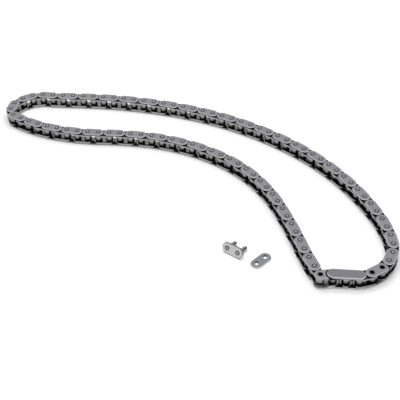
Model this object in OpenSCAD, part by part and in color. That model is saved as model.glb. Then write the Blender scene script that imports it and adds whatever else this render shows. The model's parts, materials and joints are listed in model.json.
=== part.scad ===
// Timing chain: a bush roller chain laid in a loop on its side, with its closing link beside it.
// Every pin stands upright, and the riveted pin heads rest on the floor at z = 0.
// The loop lies in the XY plane. The side nearest the viewer is -Y.
// The row's origin is under the middle of the loop.

/* [Chain] */
// Distance from each pin to the next
pitch = 9.525; // [8:0.025:12.7]
// Space between the rounded ends of two plates that follow each other
plate_gap = 0.425; // [0.3:0.025:1.5]
// Clear width between the two inner plates of a link
inner_w = 5.72; // [4:0.01:8]
// Thickness of the inner plates
inner_t = 1.3; // [0.9:0.05:1.8]
// Thickness of the outer plates
outer_t = 1.2; // [0.8:0.05:1.6]
// Thickness of the long marker plate on top
marker_t = 1.5; // [1.3:0.05:2]
// Chamfer round the outside of the outer plates
plate_edge = 0.35; // [0.1:0.05:0.6]

/* [Pins, bushes and rollers] */
// Diameter of the pins
pin_d = 3.28; // [2.4:0.01:4]
// Wall of the bushes
bush_wall = 0.61; // [0.4:0.01:0.8]
// Outside diameter of the rollers
roller_d = 6.35; // [5.3:0.01:7.6]
// How far a riveted pin head stands out of its plate
head_h = 0.2; // [0.15:0.05:0.6]
// How much a riveted head is wider than its pin, on each side
head_flare = 0.16; // [0.05:0.01:0.4]
// Width of the shallow recess round a riveted head
recess_margin = 0.25; // [0.1:0.05:0.7]
// Depth of that recess
recess_h = 0.22; // [0.1:0.02:0.5]

/* [Clearances] */
// Radial play between a pin and its bush
pin_play = 0.05; // [0.02:0.01:0.1]
// Radial play between a bush and its roller
roller_play = 0.06; // [0.02:0.01:0.1]
// Side play between neighbouring plates, and at each end of a roller
side_play = 0.1; // [0.05:0.01:0.2]

/* [Loose closing link] */
// Place of the closing link's plate, in pitches from the origin
closing_link_at = [3.87, -9.05];
// Direction of the closing link's plate, in degrees
closing_link_turn = -37; // [-90:1:90]
// Place of the cover plate, in pitches from the origin
cover_plate_at = [6.12, -9.8];
// Direction of the cover plate, in degrees
cover_plate_turn = 44; // [-90:1:90]
// Length of pin left to rivet over on the closing link
rivet_stock = 0.6; // [0.3:0.05:1.2]
// Width of the shoulder on which the closing link's plate sits
pin_shoulder = 0.25; // [0.16:0.01:0.4]
// Depth of the countersinks in the cover plate, into which the pin tips are riveted
sink_depth = 0.45; // [0.2:0.05:0.7]
// How much a countersink widens the hole, on each side
sink_flare = 0.55; // [0.2:0.05:0.8]

/* [Hidden] */
$fn = 48;

// How the loop lies. Each pair is a number of pins and the turn at each of them, in degrees.
// The list starts at the near open end, goes left along the near run, round the tight bend on
// the left, back along the far run and round the wide bend on the right.
start_heading = 110.84;
bends = [
    [3, -2.5], [5, 1], [4, 3.5], [4, 4.5], [8, 3.5], [4, 2], [4, -3], [3, -4], [2, -4.5],
    [3, -32.5], [3, -18],
    [2, 2], [2, -0.5], [9, -1.5], [12, -2], [12, -2.5], [3, -5],
    [3, -14.5], [2, -17.5]
];

// Numbers of the links, counted from the near open end. Even links are inner, odd ones outer.
near_tip = [0, 1, 2, 3];
near_run = [4 : 35];
left_bend = [36 : 44];
far_run_left = [45 : 63];
far_run_right = [64 : 82];
far_tip = [86, 85, 84, 83];
open_joint = 87;
end_link = 88;

plate_r = (pitch - plate_gap) / 2;
pin_r = pin_d / 2;
bore_r = pin_r + pin_play;
bush_r = bore_r + bush_wall;
bush_len = inner_w + 2 * inner_t;
roller_r = roller_d / 2;
roller_bore_r = bush_r + roller_play;
roller_len = inner_w - 2 * side_play;
head_r = pin_r + head_flare;
recess_r = head_r + recess_margin;

// Heights above the middle of the chain's width
inner_z = inner_w / 2;
outer_z = inner_z + inner_t + side_play;
face_z = outer_z + outer_t;
half_len = face_z + head_h;

// The riveted end of a pin: a narrow lip, the groove of the riveting tool, and a boss
lip_w = 0.2;
lip_chamfer = 0.12;
groove_w = 0.6;
groove_slope = 0.12;
groove_depth = 0.3;
groove_out_r = head_r - lip_w;
boss_r = groove_out_r - groove_w;
tip_chamfer = 0.35;

// The offset link steps from the inner level to the outer level in a short web
web_play = 0.2;
web_in_r = plate_r + web_play;
web_t = 0.9;
slim_r = pitch - web_in_r - web_t - web_play;

// The marker link spans two pitches and hides its pins' upper ends in blind holes
marker_len = 2 * pitch;
marker_skin = 0.5;
marker_holes = [0, pitch, marker_len];
marker_pin_top = outer_z + marker_t - marker_skin;

// The tip of the closing link's pins, from the outside of its plate
closing_tip = face_z + half_len + rivet_stock;
seat_r = pin_r - pin_shoulder;

steel_outer = [0.55, 0.55, 0.58];
steel_inner = [0.5, 0.5, 0.53];
steel_pin = [0.62, 0.62, 0.64];
steel_bush = [0.42, 0.42, 0.44];
steel_roller = [0.7, 0.7, 0.72];
steel_loose = [0.72, 0.72, 0.75];
steel_blue = [0.5, 0.53, 0.57];

// The path of the pins, one pitch at a time
turns = [for (b = bends) for (i = [1 : b[0]]) b[1]];
function heading(i) = i == 0 ? start_heading : heading(i - 1) + turns[i - 1];
function step(i) = pitch * [cos(heading(i)), sin(heading(i))];
function walk(n) = n == 0 ? [[0, 0]]
    : let (before = walk(n - 1)) concat(before, [before[n - 1] + step(n - 1)]);

// The last pin is where a circle about each end meets, so that the loop closes exactly
function meet(a, ra, b, rb) =
    let (d = norm(b - a), along = (ra * ra - rb * rb + d * d) / (2 * d),
         ex = (b - a) / d, ey = [-ex[1], ex[0]])
    a + along * ex - sqrt(ra * ra - along * along) * ey;

raw_pins = walk(len(turns) + 1);
raw_marker_end = raw_pins[len(turns) + 1];
raw_offset_pin = meet(raw_marker_end, marker_len, raw_pins[0], pitch);
raw_all = concat(raw_pins, [raw_offset_pin]);
xs = [for (p = raw_all) p[0]];
ys = [for (p = raw_all) p[1]];
middle = [max(xs) + min(xs), max(ys) + min(ys)] / 2;
pins = [for (p = raw_pins) p - middle];
near_hole = pins[0];
offset_pin = raw_offset_pin - middle;
marker_end = raw_marker_end - middle;

function backwards(list) = [for (i = [len(list) - 1 : -1 : 0]) list[i]];
function towards(a, b) = atan2(b[1] - a[1], b[0] - a[0]);
marker_turn = towards(offset_pin, marker_end);
offset_turn = towards(offset_pin, near_hole);
middle_eye = (offset_pin + marker_end) / 2;

// Moves its children to a link, with the first pin at the origin and the second along +X
module at_link(i) {
    translate(pins[i]) rotate(towards(pins[i], pins[i + 1])) children();
}

// Moves its children to both pins of a link
module at_both_pins(i) {
    for (p = [pins[i], pins[i + 1]]) translate(p) children();
}

// Lifts its children from the middle of the chain's width to where it lies on the floor
module at_height(z) {
    translate([0, 0, half_len + z]) children();
}

// A solid plate of thickness t with two round ends, len apart. Its sides are straight, and as
// wide as the smaller end.
module blank(len, t, r1 = plate_r, r2 = plate_r) {
    half_w = min(r1, r2);
    cylinder(r = r1, h = t);
    translate([len, 0, 0]) cylinder(r = r2, h = t);
    translate([0, -half_w, 0]) cube([len, 2 * half_w, t]);
}

// An outer plate's blank, with straight sides and a chamfer round its outside, which is up
module chamfered_blank(len, t) {
    half = [
        [plate_r, 0], [plate_r, t - plate_edge], [plate_r - plate_edge, t]
    ];
    section = concat([[0, 0]], half, [[0, t]]);
    rotate(90) rotate_extrude(angle = 180) polygon(section);
    translate([len, 0, 0]) rotate(-90) rotate_extrude(angle = 180) polygon(section);
    rotate([90, 0, 90]) linear_extrude(len)
        polygon(concat(half, [for (p = backwards(half)) [-p[0], p[1]]]));
}

// A hole of radius r at x, cut past both faces of a plate of thickness t
module hole(x, r, t) {
    translate([x, 0, -t / 2]) cylinder(r = r, h = 2 * t);
}

// The shallow recess for a pin head at x, in a face at height z
module recess(x, z) {
    translate([x, 0, z - recess_h]) cylinder(r = recess_r, h = 2 * recess_h);
}

// An inner plate, with a bush hole at each end
module inner_plate(tip_r) {
    difference() {
        blank(pitch, inner_t, tip_r);
        for (x = [0, pitch]) hole(x, bush_r, inner_t);
    }
}

// A countersink for a riveted pin tip at x, in a face at height z
module countersink(x, z) {
    translate([x, 0, z - sink_depth])
        cylinder(r1 = pin_r, r2 = pin_r + 2 * sink_flare, h = 2 * sink_depth);
}

// An outer plate lying with its outside up, with the recesses for the pin heads
module outer_plate(hole_r = pin_r, len = pitch, holes = [0, pitch]) {
    difference() {
        chamfered_blank(len, outer_t);
        for (x = holes) hole(x, hole_r, outer_t);
        for (x = holes) recess(x, outer_t);
    }
}

// Turns a plate over, so that its outside faces down from z = 0
module underside() {
    mirror([0, 0, 1]) children();
}

// The end of a pin's outline, from its body in the plate out to the riveted head
function head_outline(side, body_r = pin_r) = [
    for (q = [
        [body_r, face_z - recess_h],
        [head_r, face_z - recess_h / 3],
        [head_r, half_len - lip_chamfer],
        [head_r - lip_chamfer, half_len],
        [groove_out_r, half_len],
        [groove_out_r - groove_slope, half_len - groove_depth],
        [boss_r + groove_slope, half_len - groove_depth],
        [boss_r, half_len],
        [0, half_len]
    ]) [q[0], side * q[1]]
];

module pin() {
    rotate_extrude() polygon(concat(backwards(head_outline(-1)), head_outline(1)));
}

// A marker pin is riveted below and ends blind in the marker plate above
module marker_pin() {
    rotate_extrude() polygon(concat(
        backwards(head_outline(-1)), [[pin_r, marker_pin_top], [0, marker_pin_top]]
    ));
}

// A closing link pin: a riveted head at z = 0, a thinner seat in its plate, and a chamfered
// tip to push through the chain
module closing_pin() {
    tip = closing_tip - face_z;
    translate([0, 0, face_z]) rotate_extrude() polygon(concat(backwards(head_outline(-1, seat_r)), [
        [seat_r, -outer_z], [pin_r, -outer_z],
        [pin_r, tip - tip_chamfer], [pin_r - tip_chamfer, tip], [0, tip]
    ]));
}

module bush() {
    difference() {
        cylinder(r = bush_r, h = bush_len, center = true);
        cylinder(r = bore_r, h = bush_len + 2, center = true);
    }
}

module roller() {
    difference() {
        cylinder(r = roller_r, h = roller_len, center = true);
        cylinder(r = roller_bore_r, h = roller_len + 2, center = true);
    }
}

// Two equal inner plates, at the bottom and the top of a link
module inner_pair() {
    at_height(inner_z) children();
    at_height(-inner_z) underside() children();
}

// Two equal outer plates, at the bottom and the top of a link
module outer_pair() {
    at_height(outer_z) children();
    at_height(-outer_z) underside() children();
}

module inner_plates(links, tip_r = plate_r) {
    for (i = links) if (i % 2 == 0) at_link(i) inner_pair() inner_plate(tip_r);
}

module outer_plates(links) {
    for (i = links) if (i % 2 == 1) at_link(i) outer_pair() outer_plate();
}

module link_pins(links) {
    for (i = links) if (i % 2 == 1) at_both_pins(i) at_height(0) pin();
}

module link_bushes(links) {
    for (i = links) if (i % 2 == 0) at_both_pins(i) at_height(0) bush();
}

module link_rollers(links) {
    for (i = links) if (i % 2 == 0) at_both_pins(i) at_height(0) roller();
}

module one_roller(place) {
    translate(place) at_height(0) roller();
}

// One plate of the offset link, lying with its outside up, from the narrow end's inner face
module offset_plate() {
    rise = outer_z - inner_z;
    difference() {
        union() {
            intersection() {
                blank(pitch, inner_t);
                cylinder(r = web_in_r + web_t, h = inner_t);
            }
            intersection() {
                blank(pitch, rise);
                difference() {
                    cylinder(r = web_in_r + web_t, h = rise);
                    hole(0, web_in_r, rise);
                }
            }
            translate([0, 0, rise]) difference() {
                chamfered_blank(pitch, outer_t);
                hole(0, web_in_r, outer_t);
            }
        }
        hole(0, bush_r, inner_t);
        hole(pitch, bore_r, rise + outer_t);
        recess(pitch, rise + outer_t);
    }
}

// The closing link leans on its pin tips, with its plate on its long lower edge
module closing_link_stance() {
    lean = atan((plate_r - pin_r) / (closing_tip - tip_chamfer - outer_t));
    lift = outer_t * sin(lean) + plate_r * cos(lean);
    translate([closing_link_at[0] * pitch, closing_link_at[1] * pitch, lift])
        rotate(closing_link_turn) rotate([-90 - lean, 0, 0]) translate([-pitch / 2, 0, 0]) children();
}

// Moves its children to the marker link, with its first pin at the origin
module at_marker() {
    translate(offset_pin) rotate(marker_turn) children();
}

module near_run_outer_plates() { color(steel_outer) outer_plates(near_run); }
module near_run_pins() { color(steel_pin) link_pins(near_run); }
module near_run_inner_plates() { color(steel_inner) inner_plates(near_run); }
module near_run_bushes() { color(steel_bush) link_bushes(near_run); }
module near_run_rollers() { color(steel_roller) link_rollers(near_run); }

module left_bend_outer_plates() { color(steel_outer) outer_plates(left_bend); }
module left_bend_pins() { color(steel_pin) link_pins(left_bend); }
module left_bend_inner_plates() { color(steel_inner) inner_plates(left_bend); }
module left_bend_bushes() { color(steel_bush) link_bushes(left_bend); }
module left_bend_rollers() { color(steel_roller) link_rollers(left_bend); }

module far_run_left_outer_plates() { color(steel_outer) outer_plates(far_run_left); }
module far_run_left_pins() { color(steel_pin) link_pins(far_run_left); }
module far_run_left_inner_plates() { color(steel_inner) inner_plates(far_run_left); }
module far_run_left_bushes() { color(steel_bush) link_bushes(far_run_left); }
module far_run_left_rollers() { color(steel_roller) link_rollers(far_run_left); }

module far_run_right_outer_plates() { color(steel_outer) outer_plates(far_run_right); }
module far_run_right_pins() { color(steel_pin) link_pins(far_run_right); }
module far_run_right_inner_plates() { color(steel_inner) inner_plates(far_run_right); }
module far_run_right_bushes() { color(steel_bush) link_bushes(far_run_right); }
module far_run_right_rollers() { color(steel_roller) link_rollers(far_run_right); }

// The four links at the near open end, counted from the tip. The first clears the offset link.
module near_link_1_inner_plates() { color(steel_inner) inner_plates([near_tip[0]], slim_r); }
module near_link_1_bushes() { color(steel_bush) link_bushes([near_tip[0]]); }
module near_link_1_tip_roller() { color(steel_roller) one_roller(pins[near_tip[0]]); }
module near_link_1_roller() { color(steel_roller) one_roller(pins[near_tip[0] + 1]); }
module near_link_2_outer_plates() { color(steel_outer) outer_plates([near_tip[1]]); }
module near_link_2_pins() { color(steel_pin) link_pins([near_tip[1]]); }
module near_link_3_inner_plates() { color(steel_inner) inner_plates([near_tip[2]]); }
module near_link_3_bushes() { color(steel_bush) link_bushes([near_tip[2]]); }
module near_link_3_rollers() { color(steel_roller) link_rollers([near_tip[2]]); }
module near_link_4_outer_plates() { color(steel_outer) outer_plates([near_tip[3]]); }
module near_link_4_pins() { color(steel_pin) link_pins([near_tip[3]]); }

// The four links at the far open end, counted from the tip
module far_link_1_inner_plates() { color(steel_inner) inner_plates([far_tip[0]]); }
module far_link_1_bushes() { color(steel_bush) link_bushes([far_tip[0]]); }
module far_link_1_tip_roller() { color(steel_roller) one_roller(pins[far_tip[0] + 1]); }
module far_link_1_roller() { color(steel_roller) one_roller(pins[far_tip[0]]); }
module far_link_2_outer_plates() { color(steel_outer) outer_plates([far_tip[1]]); }
module far_link_2_pins() { color(steel_pin) link_pins([far_tip[1]]); }
module far_link_3_inner_plates() { color(steel_inner) inner_plates([far_tip[2]]); }
module far_link_3_bushes() { color(steel_bush) link_bushes([far_tip[2]]); }
module far_link_3_rollers() { color(steel_roller) link_rollers([far_tip[2]]); }
module far_link_4_outer_plates() { color(steel_outer) outer_plates([far_tip[3]]); }
module far_link_4_pins() { color(steel_pin) link_pins([far_tip[3]]); }

// The marker strand: a long link of two pitches with a free eye in its middle
module marker_plate_top() {
    depth = marker_t - marker_skin;
    color(steel_outer) at_marker() at_height(outer_z) difference() {
        chamfered_blank(marker_len, marker_t);
        for (x = marker_holes) translate([x, 0, -depth]) cylinder(r = pin_r, h = 2 * depth);
    }
}
module marker_plate_bottom() {
    color(steel_outer) at_marker() at_height(-outer_z) underside()
        outer_plate(len = marker_len, holes = marker_holes);
}
module marker_pins() {
    color(steel_pin) at_marker() at_height(0) for (x = marker_holes) translate([x, 0, 0]) marker_pin();
}
module middle_eye_plates() {
    color(steel_inner) translate(middle_eye) inner_pair() difference() {
        cylinder(r = plate_r, h = inner_t);
        hole(0, bush_r, inner_t);
    }
}
module middle_bush() { color(steel_bush) translate(middle_eye) at_height(0) bush(); }
module middle_roller() { color(steel_roller) one_roller(middle_eye); }

// The offset link: inner at the marker link, outer round the near open end
module offset_link_plates() {
    color(steel_inner) translate(offset_pin) rotate(offset_turn) inner_pair() offset_plate();
}
module offset_link_bush() { color(steel_bush) translate(offset_pin) at_height(0) bush(); }
module offset_link_roller() { color(steel_roller) one_roller(offset_pin); }

// The inner link that ends the marker strand
module end_link_inner_plates() { color(steel_inner) inner_plates([end_link]); }
module end_link_bushes() { color(steel_bush) link_bushes([end_link]); }
module end_link_tip_roller() { color(steel_roller) one_roller(pins[end_link]); }
module end_link_roller() { color(steel_roller) one_roller(pins[end_link + 1]); }

// The open joint, where the loose closing link goes. With no pin to hold it up, the lower
// plate lies on the floor. Their holes are a slip fit on a pin.
module open_joint_plate_top() {
    color(steel_outer) at_link(open_joint) at_height(outer_z) outer_plate(bore_r);
}
module open_joint_plate_bottom() {
    color(steel_outer) at_link(open_joint) translate([0, 0, outer_t]) underside() outer_plate(bore_r);
}
module closing_link_plate() {
    color(steel_loose) closing_link_stance() translate([0, 0, outer_t]) underside() outer_plate(seat_r);
}
module closing_link_pins() {
    color(steel_pin) closing_link_stance() for (x = [0, pitch]) translate([x, 0, 0]) closing_pin();
}
module cover_plate() {
    color(steel_blue) translate([cover_plate_at[0] * pitch, cover_plate_at[1] * pitch, 0])
        rotate(cover_plate_turn) translate([-pitch / 2, 0, 0]) difference() {
            chamfered_blank(pitch, outer_t);
            for (x = [0, pitch]) {
                hole(x, pin_r, outer_t);
                countersink(x, outer_t);
            }
        }
}

near_run_outer_plates();
near_run_pins();
near_run_inner_plates();
near_run_bushes();
near_run_rollers();
left_bend_outer_plates();
left_bend_pins();
left_bend_inner_plates();
left_bend_bushes();
left_bend_rollers();
far_run_left_outer_plates();
far_run_left_pins();
far_run_left_inner_plates();
far_run_left_bushes();
far_run_left_rollers();
far_run_right_outer_plates();
far_run_right_pins();
far_run_right_inner_plates();
far_run_right_bushes();
far_run_right_rollers();
near_link_1_inner_plates();
near_link_1_bushes();
near_link_1_tip_roller();
near_link_1_roller();
near_link_2_outer_plates();
near_link_2_pins();
near_link_3_inner_plates();
near_link_3_bushes();
near_link_3_rollers();
near_link_4_outer_plates();
near_link_4_pins();
far_link_1_inner_plates();
far_link_1_bushes();
far_link_1_tip_roller();
far_link_1_roller();
far_link_2_outer_plates();
far_link_2_pins();
far_link_3_inner_plates();
far_link_3_bushes();
far_link_3_rollers();
far_link_4_outer_plates();
far_link_4_pins();
marker_plate_top();
marker_plate_bottom();
marker_pins();
middle_eye_plates();
middle_bush();
middle_roller();
offset_link_plates();
offset_link_bush();
offset_link_roller();
end_link_inner_plates();
end_link_bushes();
end_link_tip_roller();
end_link_roller();
open_joint_plate_top();
open_joint_plate_bottom();
closing_link_plate();
closing_link_pins();
cover_plate();
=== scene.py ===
# %% [markdown]
# # A timing chain on a white table
#
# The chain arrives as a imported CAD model: 60 named nodes in metres, with +Z up. Blender only gives
# it its looks, so nothing here moves a CAD part. The box of the model is measured straight away and
# once more at the end, so that the two can be compared.

# %% Load the chain
import json
import math
import bpy
import numpy as np
from mathutils import Matrix
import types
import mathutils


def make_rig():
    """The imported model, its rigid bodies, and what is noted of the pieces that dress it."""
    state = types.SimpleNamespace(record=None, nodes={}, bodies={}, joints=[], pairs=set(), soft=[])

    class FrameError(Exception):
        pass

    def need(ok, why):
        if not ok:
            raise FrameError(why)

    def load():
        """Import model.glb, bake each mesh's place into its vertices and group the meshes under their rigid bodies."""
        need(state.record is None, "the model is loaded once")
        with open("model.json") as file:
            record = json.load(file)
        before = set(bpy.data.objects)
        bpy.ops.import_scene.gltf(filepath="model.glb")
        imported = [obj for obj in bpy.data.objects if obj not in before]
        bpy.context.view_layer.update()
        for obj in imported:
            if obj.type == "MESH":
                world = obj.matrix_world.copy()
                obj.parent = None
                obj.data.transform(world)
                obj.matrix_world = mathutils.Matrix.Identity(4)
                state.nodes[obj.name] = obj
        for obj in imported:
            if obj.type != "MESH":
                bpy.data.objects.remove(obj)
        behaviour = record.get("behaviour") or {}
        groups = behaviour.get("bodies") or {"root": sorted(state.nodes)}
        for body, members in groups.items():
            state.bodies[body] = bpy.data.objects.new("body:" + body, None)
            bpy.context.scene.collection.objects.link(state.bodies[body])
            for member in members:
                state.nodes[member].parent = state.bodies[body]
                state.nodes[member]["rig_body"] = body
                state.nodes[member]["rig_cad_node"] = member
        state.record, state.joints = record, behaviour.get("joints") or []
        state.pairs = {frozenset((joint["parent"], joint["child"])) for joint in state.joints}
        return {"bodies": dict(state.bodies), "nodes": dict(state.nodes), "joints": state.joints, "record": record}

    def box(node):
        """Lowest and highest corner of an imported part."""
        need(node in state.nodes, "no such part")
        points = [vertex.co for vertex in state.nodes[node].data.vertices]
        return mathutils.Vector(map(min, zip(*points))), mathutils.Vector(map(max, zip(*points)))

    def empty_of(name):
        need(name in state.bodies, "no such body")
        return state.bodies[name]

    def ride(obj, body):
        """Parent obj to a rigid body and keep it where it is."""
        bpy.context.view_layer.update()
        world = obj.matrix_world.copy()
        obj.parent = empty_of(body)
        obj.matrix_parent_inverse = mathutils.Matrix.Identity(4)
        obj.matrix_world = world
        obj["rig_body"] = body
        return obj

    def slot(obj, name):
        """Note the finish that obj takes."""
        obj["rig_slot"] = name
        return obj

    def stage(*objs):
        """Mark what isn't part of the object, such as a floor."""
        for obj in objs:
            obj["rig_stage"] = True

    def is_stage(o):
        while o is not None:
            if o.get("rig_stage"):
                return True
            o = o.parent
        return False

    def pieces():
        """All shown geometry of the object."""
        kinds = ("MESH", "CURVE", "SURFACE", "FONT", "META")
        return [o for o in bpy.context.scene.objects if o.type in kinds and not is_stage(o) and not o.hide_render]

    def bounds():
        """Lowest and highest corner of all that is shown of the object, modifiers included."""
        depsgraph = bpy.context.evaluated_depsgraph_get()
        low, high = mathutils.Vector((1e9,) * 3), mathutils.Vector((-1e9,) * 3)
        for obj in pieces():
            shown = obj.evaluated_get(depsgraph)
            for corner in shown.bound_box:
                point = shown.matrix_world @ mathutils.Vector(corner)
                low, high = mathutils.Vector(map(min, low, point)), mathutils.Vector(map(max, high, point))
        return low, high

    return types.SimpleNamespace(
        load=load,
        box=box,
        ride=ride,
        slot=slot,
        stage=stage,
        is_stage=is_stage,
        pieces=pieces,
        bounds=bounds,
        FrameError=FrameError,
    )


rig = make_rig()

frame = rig.load()
cad_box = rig.bounds()
print("bodies:", len(frame["bodies"]), "nodes:", len(frame["nodes"]), "box:", cad_box)

# %% [markdown]
# ## Heights that the finishes share
#
# The loop lies flat, so a height tells what a surface is: the outer plates' top face, the floor of
# the shallow recess round a pin, or the top of a riveted head. Reading the heights from the nodes
# keeps the finishes right if the CAD changes.

# %% Heights and directions
MM = 0.001
UP, DOWN = (0.0, 0.0, 1.0), (0.0, 0.0, -1.0)
HEAD_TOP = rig.box("near_run_pins")[1][2]
OUTER_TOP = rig.box("near_run_outer_plates")[1][2]
INNER_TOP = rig.box("near_run_inner_plates")[1][2]
MIDDLE = HEAD_TOP / 2
print("head top", HEAD_TOP, "outer plate top", OUTER_TOP, "inner plate top", INNER_TOP)

# %% [markdown]
# ## The camera
#
# The picture looks down at about 41 degrees from far away with a long lens. The place, the target
# and the lens come from a fit to the pin heads. The camera's axes are built from the line of sight,
# and a roll of one degree is added about that line.

# %% Camera
CAMERA_PLACE, CAMERA_TARGET = (0.01308, -0.56691, 0.46910), (0.01308, -0.02143, 0.0)
CAMERA_LENS, CAMERA_ROLL = 79.24, -0.937  # millimetres, degrees


def frame_matrix(side, top, back, place):
    """The matrix of an object whose own X, Y and Z point along side, top and back."""
    rows = np.eye(4)
    rows[:3, 0], rows[:3, 1], rows[:3, 2], rows[:3, 3] = side, top, back, place
    return Matrix(rows.tolist())


def aim_camera(place, target, lens, roll_degrees):
    """Makes a camera at place that looks at target; right = sight x up, turned by the roll."""
    place, target = np.array(place), np.array(target)
    sight = (target - place) / np.linalg.norm(target - place)
    right = np.cross(sight, UP)
    right = right / np.linalg.norm(right)
    up = np.cross(right, sight)
    c, s = math.cos(math.radians(roll_degrees)), math.sin(math.radians(roll_degrees))
    data = bpy.data.cameras.new("camera")
    data.sensor_width = 36.0
    data.lens = lens
    data.clip_start, data.clip_end = 0.01, 20.0
    camera = bpy.data.objects.new("camera", data)
    camera.matrix_world = frame_matrix(c * right + s * up, c * up - s * right, -sight, place)
    bpy.context.scene.collection.objects.link(camera)
    bpy.context.scene.camera = camera
    return camera


camera = aim_camera(CAMERA_PLACE, CAMERA_TARGET, CAMERA_LENS, CAMERA_ROLL)
print("camera at", [round(v, 3) for v in camera.matrix_world.translation])

# %% [markdown]
# ## A shorter way to wire shader nodes
#
# Every finish below is made of small calculations. One class adds the nodes, and each value that it
# is given may be a constant or the socket of another node.


# %% Wiring
class Wiring:
    """Adds shader nodes to one tree. A value may be a constant or a socket."""

    def __init__(self, tree):
        self.tree = tree

    def put(self, socket, value):
        """Links a socket's value, or sets a constant."""
        if isinstance(value, bpy.types.NodeSocket):
            self.tree.links.new(value, socket)
        else:
            socket.default_value = value

    def node(self, kind, inputs=None, **settings):
        """A node of a kind, with its settings, and with its inputs by name or by number."""
        node = self.tree.nodes.new(kind)
        for setting, value in settings.items():
            setattr(node, setting, value)
        for key, value in (inputs or {}).items():
            self.put(node.inputs[key], value)
        return node

    def math(self, operation, *values):
        """A calculation with numbers."""
        return self.node("ShaderNodeMath", dict(enumerate(values)), operation=operation).outputs[0]

    def measure(self, operation, *values):
        """A number out of vectors, such as a length or a dot product."""
        vectors = self.node("ShaderNodeVectorMath", dict(enumerate(values)), operation=operation)
        return vectors.outputs["Value"]

    def ramp(self, value, start, stop, low, high):
        """Maps value from start..stop to low..high, held at both ends."""
        return self.node("ShaderNodeMapRange", {
            "Value": value, "From Min": start, "From Max": stop, "To Min": low, "To Max": high,
        }).outputs["Result"]

    def blend(self, factor, first, second):
        """The first colour where factor is 0, the second where it is 1."""
        mix = self.node("ShaderNodeMix", data_type="RGBA")
        for key, value in (("Factor", factor), ("A", first), ("B", second)):
            self.put(mix.inputs[key], value)
        return mix.outputs["Result"]

    def coordinates(self):
        """The outputs of the texture coordinates: Object is the place in the shared frame."""
        return self.node("ShaderNodeTexCoord").outputs

    def seen_rays(self):
        """One where the ray comes from the camera, from a mirror or through glass, else zero."""
        path = self.node("ShaderNodeLightPath").outputs
        seen = self.math("MAXIMUM", path["Is Camera Ray"], path["Is Glossy Ray"])
        return self.math("MAXIMUM", seen, path["Is Transmission Ray"])

    def mix_shaders(self, factor, first, second):
        """The first shader where factor is 0, the second where it is 1."""
        return self.node("ShaderNodeMixShader", {0: factor, 1: first, 2: second}).outputs[0]


print("wiring ready")

# %% [markdown]
# ## Light and background
#
# Polished steel is mostly a mirror, so it looks like what stands around it. A white room makes
# mid-grey steel plates, and the dark lines between them come from the plates hiding the room from
# each other. As a light the room is weak, because a strong one would wash out the shadow. One soft
# lamp hangs straight above, so the shadows stay close to the chain. Mirror rays don't see it.

# %% World
WHITE = (1.0, 1.0, 1.0, 1.0)
ROOM_LIGHT, SHOWN_LIGHT = 0.3, 1.0  # the room as a light, and as the camera and mirrors see it

scene = bpy.context.scene
scene.view_settings.view_transform = "Standard"
world = bpy.data.worlds.new("white_room")
scene.world = world
world.use_nodes = True
world.node_tree.nodes.clear()
sky = Wiring(world.node_tree)
room, shown = [sky.node("ShaderNodeBackground", {"Color": WHITE, "Strength": strength}).outputs[0]
               for strength in (ROOM_LIGHT, SHOWN_LIGHT)]
sky.node("ShaderNodeOutputWorld", {"Surface": sky.mix_shaders(sky.seen_rays(), room, shown)})
print("world ready")

# %% Lamp
LAMP_PLACE = (0.0, 0.001, 0.9)
LAMP_SIDE, LAMP_POWER = 0.8, 7.7  # metres, watts


def soft_lamp(name, place, side_length, power):
    """A square lamp at place that faces the middle of the table."""
    data = bpy.data.lights.new(name, "AREA")
    data.shape = "SQUARE"
    data.size = side_length
    data.energy = power
    lamp = bpy.data.objects.new(name, data)
    back = np.array(place) / np.linalg.norm(place)
    side = np.cross([0.0, 1.0, 0.0], back)
    side = side / np.linalg.norm(side)
    lamp.matrix_world = frame_matrix(side, np.cross(back, side), back, place)
    scene.collection.objects.link(lamp)
    return lamp


overhead = soft_lamp("overhead", LAMP_PLACE, LAMP_SIDE, LAMP_POWER)
overhead.visible_glossy = False
print("lamp:", overhead.name)

# %% [markdown]
# ## The table
#
# The chain lies on white paper. A plain white sheet would look grey where the lamp is far away, and
# a stronger lamp would burn out the steel. So camera and mirror rays get a little light from the
# sheet, which grows with the distance as the lamp's light fades. The ground then reaches white,
# and the chain's shadow stays.

# %% Table
TABLE_HALF, TABLE_HEIGHT = 3.0, -0.2 * MM
PAPER = (0.92, 0.92, 0.92, 1.0)
GLOW_DISTANCES = (0.2, 1.1)  # metres from the middle
GLOW_STRENGTHS = (0.12, 0.76)


def flat_sheet(name, half, height):
    """One square of side 2 x half at a height."""
    corners = [(x * half, y * half, height) for x, y in ((-1, -1), (1, -1), (1, 1), (-1, 1))]
    mesh = bpy.data.meshes.new(name)
    mesh.from_pydata(corners, [], [(0, 1, 2, 3)])
    sheet = bpy.data.objects.new(name, mesh)
    scene.collection.objects.link(sheet)
    return sheet


def table_finish():
    """White paper. Camera, mirror and transmission rays see it with a little light of its own, which
    grows with the distance from the middle as the lamp's light fades. Other rays see it without."""
    material = bpy.data.materials.new("white_table")
    material.use_nodes = True
    material.node_tree.nodes.clear()
    wiring = Wiring(material.node_tree)
    paper = wiring.node("ShaderNodeBsdfDiffuse", {"Color": PAPER}).outputs[0]
    distance = wiring.measure("LENGTH", wiring.coordinates()["Object"])
    strength = wiring.ramp(distance, *GLOW_DISTANCES, *GLOW_STRENGTHS)
    glow = wiring.node("ShaderNodeEmission", {"Color": WHITE, "Strength": strength}).outputs[0]
    bright = wiring.node("ShaderNodeAddShader", {0: paper, 1: glow}).outputs[0]
    surface = wiring.mix_shaders(wiring.seen_rays(), paper, bright)
    wiring.node("ShaderNodeOutputMaterial", {"Surface": surface})
    return material


table = flat_sheet("table", TABLE_HALF, TABLE_HEIGHT)
table.data.materials.append(table_finish())
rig.stage(table)
print("table at", table.data.vertices[0].co.z)

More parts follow.
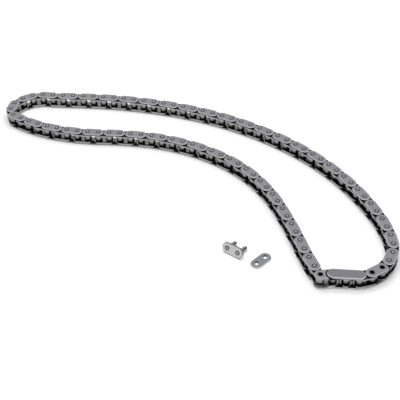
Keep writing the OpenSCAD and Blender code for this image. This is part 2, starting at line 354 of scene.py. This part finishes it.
# %% [markdown]
# ## Shared effects as node groups
#
# Every piece of the chain is steel that was tumbled, hardened and oiled. Four effects repeat: the
# cloudy grain of tumbled steel, the painted highlights and painted shade on chamfers and walls, the
# painted shade between two heights, and the painted shade round a point. Copying their nodes into
# each material would work, but a node group with named inputs is built once and changed in one place.


# %% Helper for node groups
def new_group(name, inputs, outputs):
    """A shader node group with named sockets: inputs are (kind, name, value) and outputs are
    (kind, name). Gives its wiring, the values that come in, and the sockets that go out."""
    group = bpy.data.node_groups.new(name, "ShaderNodeTree")
    for kind, label, value in inputs:
        socket = group.interface.new_socket(label, in_out="INPUT", socket_type=kind)
        socket.default_value = value
    for kind, label in outputs:
        group.interface.new_socket(label, in_out="OUTPUT", socket_type=kind)
    wiring = Wiring(group)
    return wiring, wiring.node("NodeGroupInput").outputs, wiring.node("NodeGroupOutput").inputs


FLOAT, COLOR, VECTOR = "NodeSocketFloat", "NodeSocketColor", "NodeSocketVector"
GREY, NEARLY_BLACK = (0.3, 0.3, 0.3, 1.0), (0.02, 0.02, 0.02, 1.0)
print("socket kinds:", FLOAT, COLOR, VECTOR)

# %% [markdown]
# ## Tumbled grain
#
# Tumbling leaves a cloudy skin with a fine grain. An image could show it, but then every node needs
# a map that places the image. Noise on Object coordinates needs none, and it runs on over all the
# nodes, since they share one frame.

# %% Tumbled grain
CLOUDS_PER_METRE, GRAINS_PER_METRE = 170.0, 2600.0


def make_tumbled_grain():
    """Two noises on Object coordinates: clouds 6 mm wide and grain 0.4 mm wide. Their sum shifts
    the steel's colour and its roughness, and the grain alone gives a height for a bump."""
    wiring, given, result = new_group(
        "tumbled_grain",
        [(COLOR, "Steel", GREY), (FLOAT, "Cloud", 0.1), (FLOAT, "Grain", 0.1),
         (FLOAT, "Roughness", 0.35)],
        [(COLOR, "Color"), (FLOAT, "Roughness"), (FLOAT, "Height")],
    )
    place = wiring.coordinates()["Object"]
    cloud, grain = [
        wiring.node("ShaderNodeTexNoise", {"Vector": place, "Scale": scale, "Detail": detail})
        .outputs["Fac"] for scale, detail in ((CLOUDS_PER_METRE, 3.0), (GRAINS_PER_METRE, 2.0))]
    shifts = [wiring.math("MULTIPLY", wiring.math("SUBTRACT", noise, 0.5), given[amount])
              for noise, amount in ((cloud, "Cloud"), (grain, "Grain"))]
    total = wiring.math("ADD", *shifts)
    tint = wiring.node("ShaderNodeVectorMath", {
        0: given["Steel"], "Scale": wiring.math("ADD", total, 1.0)}, operation="SCALE")
    wiring.put(result["Color"], tint.outputs["Vector"])
    wiring.put(result["Roughness"], wiring.math("MULTIPLY_ADD", total, 0.5, given["Roughness"]))
    wiring.put(result["Height"], grain)
    return wiring.tree


TUMBLED = make_tumbled_grain()
print("group:", TUMBLED.name)

# %% [markdown]
# ## Painted light and shade on chamfers and walls
#
# A plate's chamfers and walls get colours that stand in for how the light falls on them: a painted
# highlight on the chamfers, and painted shade or painted reflection on the walls above and below
# the middle. The CAD meshes are left alone, so no face gets a material of its own. Instead the
# shader asks which way the surface faces.

# %% Faces, chamfers and walls
CHAMFER_TO_FACE = (0.85, 0.95)
WALL_TO_CHAMFER = (0.35, 0.5)


def make_painted_edge_light():
    """A chamfer's normal leans about 45 degrees, so its share along the plate's axis is about 0.7.
    That share tells a flat face (1.0), a chamfer (0.7) and a wall (0.0) apart. The edge colour is
    painted light or shade, and walls above the height Middle and walls below it get painted shade
    and painted light of their own."""
    wiring, given, result = new_group(
        "worn_chamfer",
        [(COLOR, "Face", GREY), (COLOR, "Edge", (0.5, 0.5, 0.5, 1.0)), (COLOR, "Wall", GREY),
         (COLOR, "Low Wall", GREY), (FLOAT, "Middle", 0.0), (VECTOR, "Axis", UP)],
        [(COLOR, "Color")],
    )
    here = wiring.coordinates()
    share = wiring.math("ABSOLUTE", wiring.measure("DOT_PRODUCT", here["Normal"], given["Axis"]))
    sloped = wiring.ramp(share, *CHAMFER_TO_FACE, 1.0, 0.0)
    upright = wiring.ramp(share, *WALL_TO_CHAMFER, 1.0, 0.0)
    along = wiring.measure("DOT_PRODUCT", here["Object"], given["Axis"])
    raised = wiring.math("GREATER_THAN", along, given["Middle"])
    walls = wiring.blend(raised, given["Low Wall"], given["Wall"])
    # painted highlight or shade on the chamfers, painted shade and light on the walls
    lit_or_shaded_edges = wiring.blend(sloped, given["Face"], given["Edge"])
    wiring.put(result["Color"], wiring.blend(upright, lit_or_shaded_edges, walls))
    return wiring.tree


EDGE_LIGHT_AND_SHADE = make_painted_edge_light()
print("group:", EDGE_LIGHT_AND_SHADE.name)

# %% [markdown]
# ## Painted shade between two heights
#
# Painted shade darkens the recesses round the pins, the undersides and upper faces between the
# plates, and the lower part of the rollers, where shade falls. A painted mask would need a map for
# each node. The chain lies flat, so two heights and the way a surface faces say where it goes.

# %% Painted shade between two heights
FILM_FADE = 0.1 * MM
FACING_FADE = 0.03
FLAT, SLOPED, ANY = 0.73, 0.3, -1.1  # least shares of the normal; a chamfer's own is 0.71


def make_shade_between_heights():
    """Surfaces that face along Axis and lie between From and Height, measured along it, get painted
    shade. Below Height the mask goes from zero to one over Fade. Facing is the least share of the
    normal along the axis."""
    wiring, given, result = new_group(
        "oil_film",
        [(COLOR, "Clean", GREY), (COLOR, "Oil", NEARLY_BLACK), (FLOAT, "From", -1.0),
         (FLOAT, "Height", 0.0), (FLOAT, "Fade", FILM_FADE), (FLOAT, "Facing", FLAT),
         (VECTOR, "Axis", UP)],
        [(COLOR, "Color")],
    )
    here = wiring.coordinates()
    along = wiring.measure("DOT_PRODUCT", here["Object"], given["Axis"])
    share = wiring.measure("DOT_PRODUCT", here["Normal"], given["Axis"])
    depth = wiring.math("SUBTRACT", given["Height"], along)
    rise = wiring.math("SUBTRACT", along, given["From"])
    over = wiring.math("SUBTRACT", share, given["Facing"])
    low = wiring.ramp(depth, 0.0, given["Fade"], 0.0, 1.0)
    high = wiring.ramp(rise, 0.0, FILM_FADE, 0.0, 1.0)
    turned = wiring.ramp(over, 0.0, FACING_FADE, 0.0, 1.0)
    # the mask of the painted shade
    mask = wiring.math("MULTIPLY", wiring.math("MULTIPLY", low, high), turned)
    wiring.put(result["Color"], wiring.blend(mask, given["Clean"], given["Oil"]))
    return wiring.tree


HEIGHT_SHADE = make_shade_between_heights()
print("group:", HEIGHT_SHADE.name)

# %% [markdown]
# ## Painted shadow round a point
#
# A dark crescent of painted shadow lies on the offset link's plate beside the round end of the
# marker plate, and the holes of the cover plate get painted shade in their far half. Both are
# round and local, so a ball round a point marks them.

# %% Painted shadow round a point
SEAM_FADE = 0.3 * MM


def make_shade_round_a_point():
    """Painted shade within Reach of the point Centre. It fades over the last 0.3 mm."""
    wiring, given, result = new_group(
        "oil_seam",
        [(COLOR, "Clean", GREY), (COLOR, "Oil", NEARLY_BLACK), (VECTOR, "Centre", (0.0, 0.0, 0.0)),
         (FLOAT, "Reach", 5.0 * MM)],
        [(COLOR, "Color")],
    )
    distance = wiring.measure("DISTANCE", wiring.coordinates()["Object"], given["Centre"])
    inside = wiring.math("SUBTRACT", given["Reach"], distance)
    mask = wiring.ramp(inside, 0.0, SEAM_FADE, 0.0, 1.0)
    wiring.put(result["Color"], wiring.blend(mask, given["Clean"], given["Oil"]))
    return wiring.tree


POINT_SHADE = make_shade_round_a_point()
print("group:", POINT_SHADE.name)

# %% [markdown]
# ## Steel finishes
#
# The chain's steels differ only in colour, grain, roughness and painted light and shade. One
# function lays the effects over a metal shader, and each finish is a call with its own values.

# %% Layers of painted shade
NO_LIMIT = 1.0  # metres, further than any part of the chain


def shade_film(oil, start=-NO_LIMIT, height=NO_LIMIT, fade=FILM_FADE, facing=FLAT, axis=UP):
    """The inputs of one film of painted shade between the heights start and height."""
    return {"Oil": (*oil, 1.0), "From": start, "Height": height, "Fade": fade, "Facing": facing,
            "Axis": axis}


def seam(oil, centre, reach):
    """The inputs of one ball of painted shade."""
    return {"Oil": (*oil, 1.0), "Centre": centre, "Reach": reach}


print("a film's inputs:", list(shade_film((0.0, 0.0, 0.0))))

# %% Steel
BUMP_DEPTH = 0.02 * MM


def steel(name, face, edge=None, wall=None, low_wall=None, seams=(), shade_films=(), axis=UP, cloud=0.16,
          grain=0.18, roughness=0.36, bump=0.15):
    """Tumbled grain on the faces, painted light and shade on the chamfers and walls, then balls and
    films of painted shade, on a metal shader. Without an edge colour, the whole piece has the
    face's colour."""
    material = bpy.data.materials.new(name)
    material.use_nodes = True
    material.node_tree.nodes.clear()
    wiring = Wiring(material.node_tree)
    skin = wiring.node("ShaderNodeGroup", node_tree=TUMBLED, inputs={
        "Steel": (*face, 1.0), "Cloud": cloud, "Grain": grain, "Roughness": roughness}).outputs
    colour = skin["Color"]
    if edge is not None:
        wall = wall or face
        colour = wiring.node("ShaderNodeGroup", node_tree=EDGE_LIGHT_AND_SHADE, inputs={
            "Face": colour, "Edge": (*edge, 1.0), "Wall": (*wall, 1.0),
            "Low Wall": (*(low_wall or wall), 1.0), "Middle": MIDDLE, "Axis": axis}).outputs["Color"]
    for group, layers in ((POINT_SHADE, seams), (HEIGHT_SHADE, shade_films)):
        for layer in layers:
            colour = wiring.node("ShaderNodeGroup", node_tree=group,
                                 inputs={"Clean": colour, **layer}).outputs["Color"]
    relief = wiring.node("ShaderNodeBump", {
        "Strength": bump, "Distance": BUMP_DEPTH, "Height": skin["Height"]}).outputs["Normal"]
    metal = wiring.node("ShaderNodeBsdfPrincipled", {
        "Metallic": 1.0, "Base Color": colour, "Roughness": skin["Roughness"], "Normal": relief})
    wiring.node("ShaderNodeOutputMaterial", {"Surface": metal.outputs["BSDF"]})
    return material


bush_steel = steel("bush_steel", (0.20, 0.195, 0.19), roughness=0.3)
print("the plainest steel:", bush_steel.name)

# %% [markdown]
# ## Places that the finishes need
#
# The closing link leans on its pins, so its finishes need the direction in which its heads face.
# The painted shadow beside the marker plate and the painted shade in the cover plate's holes need
# points. All of them are measured on the nodes.

# %% Measure the nodes
HEAD_REACH = 4.0 * MM
SAME_HEIGHT = 0.02 * MM


def node_points(node):
    """All vertices of a CAD node, as an array of shape (count, 3)."""
    mesh = frame["nodes"][node].data
    points = np.empty(len(mesh.vertices) * 3)
    mesh.vertices.foreach_get("co", points)
    return points.reshape(-1, 3)


def main_directions(points, middle):
    """The directions in which a cloud of points spreads round its middle, widest first."""
    return np.linalg.svd(points - middle, full_matrices=False)[2]


def head_centres(node, axis=UP):
    """The middle of every head of a pins node: its furthest points along the axis are gathered
    round the first one that is left, within HEAD_REACH, until none is left."""
    points = node_points(node)
    height = points @ np.array(axis)
    top = points[height > height.max() - SAME_HEIGHT]
    centres = []
    while len(top):
        near = np.linalg.norm(top - top[0], axis=1) < HEAD_REACH
        centres.append((top[near].min(axis=0) + top[near].max(axis=0)) / 2)
        top = top[~near]
    return np.array(centres)


def loose_link_axis():
    """The outward direction of the closing link's heads: the plate's thinnest direction, on the
    side away from the pins."""
    plate, pins = node_points("closing_link_plate"), node_points("closing_link_pins")
    axis = main_directions(plate, plate.mean(axis=0))[2]
    return axis if axis @ (plate.mean(axis=0) - pins.mean(axis=0)) > 0 else -axis


LEAN_AXIS = loose_link_axis()
LEAN_TOP = (node_points("closing_link_pins") @ LEAN_AXIS).max()
print("closing link faces", LEAN_AXIS.round(4))
print("heads on the near run:", len(head_centres("near_run_pins")))

# %% Streak, seam and shades
# the near-black colour of most of the painted shade below
SHADE_BLACK = (0.012, 0.011, 0.010)
TOWARD_FRONT = np.array([0.05, -0.76, 0.62])
SEAM_SHIFT, SEAM_REACH = (-0.4 * MM, -0.6 * MM), 5.6 * MM
SHADE_SHIFT, SHADE_REACH = (0.0, 0.5 * MM, 0.0), 1.9 * MM


def across_pins(direction):
    """A direction laid square to the closing pins: d - (d . a) a, of length 1."""
    across = direction - (direction @ LEAN_AXIS) * LEAN_AXIS
    return tuple(across / np.linalg.norm(across))


def cover_holes():
    """The middles of the cover plate's holes: half a pitch from its middle along its length."""
    points = node_points("cover_plate")
    middle = (points.min(axis=0) + points.max(axis=0)) / 2
    first, second = head_centres("closing_link_pins", LEAN_AXIS)
    half_pitch = np.linalg.norm(first - second) / 2
    along = main_directions(points, middle)[0]
    return [middle + sign * half_pitch * along for sign in (-1, 1)]


seam_x, seam_y, _ = min(head_centres("marker_pins").tolist())
# painted shadow: a dark crescent beside the marker plate's round end
marker_shadow = seam(SHADE_BLACK, (seam_x + SEAM_SHIFT[0], seam_y + SEAM_SHIFT[1], OUTER_TOP), SEAM_REACH)
hole_shades = [seam((0.05, 0.05, 0.055), tuple(hole + SHADE_SHIFT), SHADE_REACH)
               for hole in cover_holes()]
# the side of the closing pins that gets a dark stripe of painted shade
SHADED_SIDE_WAY = across_pins(TOWARD_FRONT)
print("seam", marker_shadow["Centre"], "streak", SHADED_SIDE_WAY)
print("shades", [shade["Centre"] for shade in hole_shades])

# %% [markdown]
# ## Finishes of the chain
#
# The outer plates are mid-grey with painted highlights on their chamfers. Their recesses get black
# painted shade, and the walls of the upper ones get dark painted shade. The inner plates lie lower,
# and their upper faces get painted shade. The pins' heads get a dark ring of painted shade, and the
# rollers get painted shade that is darker towards the bottom. One grey with shadows alone would look
# like a new chain, so each kind of piece has its own values.

# %% Chain plates
ABOVE = 0.2 * MM  # takes in a whole top face
BELOW = 0.05 * MM  # leaves a whole top face out
# painted shade on the undersides of the upper plates
UNDERSIDE_SHADE = shade_film(SHADE_BLACK, height=-MIDDLE, axis=DOWN)
# edge: painted highlight on the chamfers; wall: painted shade on the upper walls
OUTER_COLOURS = {
    "face": (0.29, 0.285, 0.315), "edge": (0.60, 0.595, 0.625), "wall": (0.03, 0.03, 0.032)}

# painted black shade in the recesses and on the lower plates' upper faces
outer_steel = steel(
    "outer_plate_steel", **OUTER_COLOURS, low_wall=(0.31, 0.305, 0.32),
    shade_films=[shade_film(SHADE_BLACK, height=OUTER_TOP - BELOW), UNDERSIDE_SHADE])
# painted shade on the upper inner plates' faces, painted light on their walls
inner_steel = steel(
    "inner_plate_steel", (0.20, 0.20, 0.20), edge=(0.50, 0.50, 0.50), wall=(0.33, 0.325, 0.33),
    low_wall=(0.36, 0.355, 0.36), roughness=0.16,
    shade_films=[shade_film((0.04, 0.04, 0.04), start=MIDDLE, height=INNER_TOP + ABOVE), UNDERSIDE_SHADE])
print("chain plates:", outer_steel.name, inner_steel.name)

# %% Pins and rollers
# painted shade: a dark ring on the up-facing parts of the heads
pin_steel = steel(
    "pin_steel", (0.45, 0.44, 0.42),
    shade_films=[shade_film((0.14, 0.133, 0.12), height=HEAD_TOP + ABOVE, facing=SLOPED)])
# painted shade on the rollers, darker towards the bottom
roller_steel = steel(
    "roller_steel", (0.30, 0.295, 0.29), roughness=0.16,
    shade_films=[shade_film(SHADE_BLACK, height=MIDDLE + 0.9 * MM, fade=2.2 * MM, facing=ANY)])
print("pins and rollers:", pin_steel.name, roller_steel.name)

# %% [markdown]
# ## Finishes at the open joint
#
# The lower plates at the open joint get light walls as a painted reflection. An upper and a lower
# plate share a material, so the shader tells them apart by their height. The marker plate is
# plainer and darker than the others, and the offset link's upper plate has the dark crescent of
# painted shadow.

# %% Joint plates
# painted reflection on the lower walls, painted shade in the recesses and under the upper plates
open_steel = steel(
    "open_plate_steel", **OUTER_COLOURS, low_wall=(0.60, 0.595, 0.61),
    shade_films=[shade_film(SHADE_BLACK, start=MIDDLE, height=OUTER_TOP - BELOW), UNDERSIDE_SHADE])
# painted reflection on the lower walls, painted shadow as a crescent, painted shade below
offset_steel = steel(
    "offset_plate_steel", (0.31, 0.30, 0.33), edge=(0.48, 0.48, 0.50), low_wall=(0.62, 0.61, 0.63),
    seams=[marker_shadow],
    shade_films=[shade_film(SHADE_BLACK, start=MIDDLE, height=OUTER_TOP - BELOW), UNDERSIDE_SHADE])
# painted highlight on the chamfers, painted light on the lower walls, painted shade on lower faces
marker_steel = steel(
    "marker_plate_steel", (0.23, 0.23, 0.255), edge=(0.72, 0.72, 0.745), wall=(0.28, 0.28, 0.30),
    low_wall=(0.62, 0.615, 0.63), shade_films=[shade_film(SHADE_BLACK, height=MIDDLE), UNDERSIDE_SHADE], grain=0.05)
print("joint plates:", open_steel.name, offset_steel.name, marker_steel.name)

# %% [markdown]
# ## Finishes of the loose pieces
#
# The closing link's plate is lighter than the chain, and the cover plate is bluish. The closing
# pins get a dark stripe of painted shade on the side towards the front. The white room would light
# them evenly all round, so the stripe is one more film of painted shade, laid square to the pins.

# %% Loose pieces
# dark painted outline on the chamfers, painted shade on the walls and the underside
closing_steel = steel(
    "closing_plate_steel", (0.50, 0.50, 0.515), edge=(0.30, 0.30, 0.31), wall=(0.13, 0.13, 0.135),
    axis=tuple(LEAN_AXIS), shade_films=[shade_film((0.05, 0.05, 0.053), facing=SLOPED, axis=DOWN)])
# painted shade: a dark stripe towards the front and a dark ring on the heads
closing_pin_steel = steel(
    "closing_pin_steel", (0.36, 0.34, 0.33), roughness=0.42,
    shade_films=[shade_film((0.07, 0.055, 0.045), facing=0.93, axis=SHADED_SIDE_WAY),
           shade_film((0.12, 0.11, 0.09), height=LEAN_TOP + ABOVE, facing=SLOPED, axis=tuple(LEAN_AXIS))])
# painted light on the chamfers and wall, painted shade in the holes
cover_steel = steel(
    "cover_plate_steel", (0.26, 0.275, 0.31), edge=(0.50, 0.51, 0.54), wall=(0.45, 0.455, 0.47),
    seams=hole_shades)
print("loose pieces:", closing_steel.name, closing_pin_steel.name, cover_steel.name)

# %% Give each node its finish
FINISHES = [  # the first entry whose word is in the node's name counts
    ("closing_link_plate", closing_steel), ("closing_link_pins", closing_pin_steel),
    ("cover_plate", cover_steel), ("marker_plate", marker_steel),
    ("offset_link_plates", offset_steel), ("inner_plates", inner_steel),
    ("middle_eye_plates", inner_steel), ("pins", pin_steel), ("bush", bush_steel),
    ("roller", roller_steel), ("open_joint_plate", open_steel), ("plate", outer_steel),
]
for name, thing in frame["nodes"].items():
    finish = next(material for part, material in FINISHES if part in name)
    thing.data.materials.clear()
    thing.data.materials.append(finish)
print("finished", len(frame["nodes"]), "nodes")

# %% [markdown]
# ## The bosses of the riveted heads
#
# A riveting tool leaves a small bright boss in the middle of each head, slightly domed and with a
# scar across it. The CAD model has the flat boss and the groove round it. The dome and its scar are
# added here as one surface for each body: a grid of angles and radii, computed for all heads of the
# body at once.

# %% Boss surface
BOSS_RADIUS, BOSS_HEIGHT, SCAR_DEPTH = 1.0 * MM, 0.1 * MM, 0.06 * MM
BOSS_RINGS, BOSS_SIDES = 5, 14
SCAR_WIDTH = 0.28  # share of the radius
SCAR_TURNS, SCAR_OFFSETS = (0.7, 2.2), (-0.25, 0.25)  # radians, shares of the radius


def disc_grid(rings, sides):
    """The points of a disc of radius 1, first the middle and then ring by ring, and its faces: a
    fan of triangles in the middle and a band of squares between two rings."""
    r = np.linspace(0.0, 1.0, rings)[1:]
    t = np.arange(sides) * 2 * np.pi / sides
    x = np.concatenate([[0.0], np.outer(r, np.cos(t)).ravel()])
    y = np.concatenate([[0.0], np.outer(r, np.sin(t)).ravel()])
    pairs = [(1 + k, 1 + (k + 1) % sides) for k in range(sides)]
    fan = [(0, a, b) for a, b in pairs]
    bands = [(k * sides + a, (k + 1) * sides + a, (k + 1) * sides + b, k * sides + b)
             for k in range(rings - 2) for a, b in pairs]
    return x, y, fan + bands


def domed_bosses(name, centres, seed, axis=UP):
    """Domes of radius R on the heads. A point at radius r is lifted by height x (1 - (r/R)^2), and
    lowered by scar x exp(-(d/w)^2) x (1 - (r/R)^2), where d is its distance from a line across the
    boss whose direction is drawn for each head."""
    x, y, cells = disc_grid(BOSS_RINGS, BOSS_SIDES)
    rng = np.random.default_rng(seed)
    turn = rng.uniform(*SCAR_TURNS, len(centres))[:, None]
    off = rng.uniform(*SCAR_OFFSETS, len(centres))[:, None]
    line = x * np.sin(turn) - y * np.cos(turn) - off
    z = (BOSS_HEIGHT - SCAR_DEPTH * np.exp(-(line / SCAR_WIDTH) ** 2)) * (1 - x ** 2 - y ** 2)
    up = np.array(axis) / np.linalg.norm(axis)
    side = np.cross([0.0, 1.0, 0.0], up)
    side = side / np.linalg.norm(side)
    disc = BOSS_RADIUS * (x[:, None] * side + y[:, None] * np.cross(up, side))
    points = centres[:, None, :] + disc[None] + z[:, :, None] * up
    faces = [tuple(v + head * len(x) for v in cell) for head in range(len(centres)) for cell in cells]
    mesh = bpy.data.meshes.new(name)
    mesh.from_pydata(points.reshape(-1, 3).tolist(), [], faces)
    mesh.polygons.foreach_set("use_smooth", np.ones(len(mesh.polygons), dtype=bool))
    piece = bpy.data.objects.new(name, mesh)
    scene.collection.objects.link(piece)
    return piece


print("faces of one boss:", len(disc_grid(BOSS_RINGS, BOSS_SIDES)[2]))

# %% Bosses on every body with riveted pins
RIVETED_BODIES = ["near_run", "left_bend", "far_run_left", "far_run_right", "near_link_2",
                  "near_link_4", "far_link_2", "far_link_4", "closing_link"]
boss_steel = steel("riveted_boss_steel", (0.40, 0.395, 0.38), cloud=0.6, grain=0.8, roughness=0.25,
                   bump=0.5)
for seed, body in enumerate(RIVETED_BODIES):
    outward = tuple(LEAN_AXIS) if body == "closing_link" else UP
    bosses = domed_bosses(body + "_bosses", head_centres(body + "_pins", outward), seed, outward)
    bosses.data.materials.append(boss_steel)
    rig.ride(bosses, body)
    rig.slot(bosses, "pin_steel")
    print(bosses.name, len(bosses.data.polygons), "faces")

# %% [markdown]
# ## The size of the model
#
# The visual model has to stay inside the CAD model's box, so both boxes are written down.

# %% Finish
json.dump({"cad": [list(v) for v in cad_box], "visual": [list(v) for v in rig.bounds()]},
          open("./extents.json", "w"))
print(open("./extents.json").read())
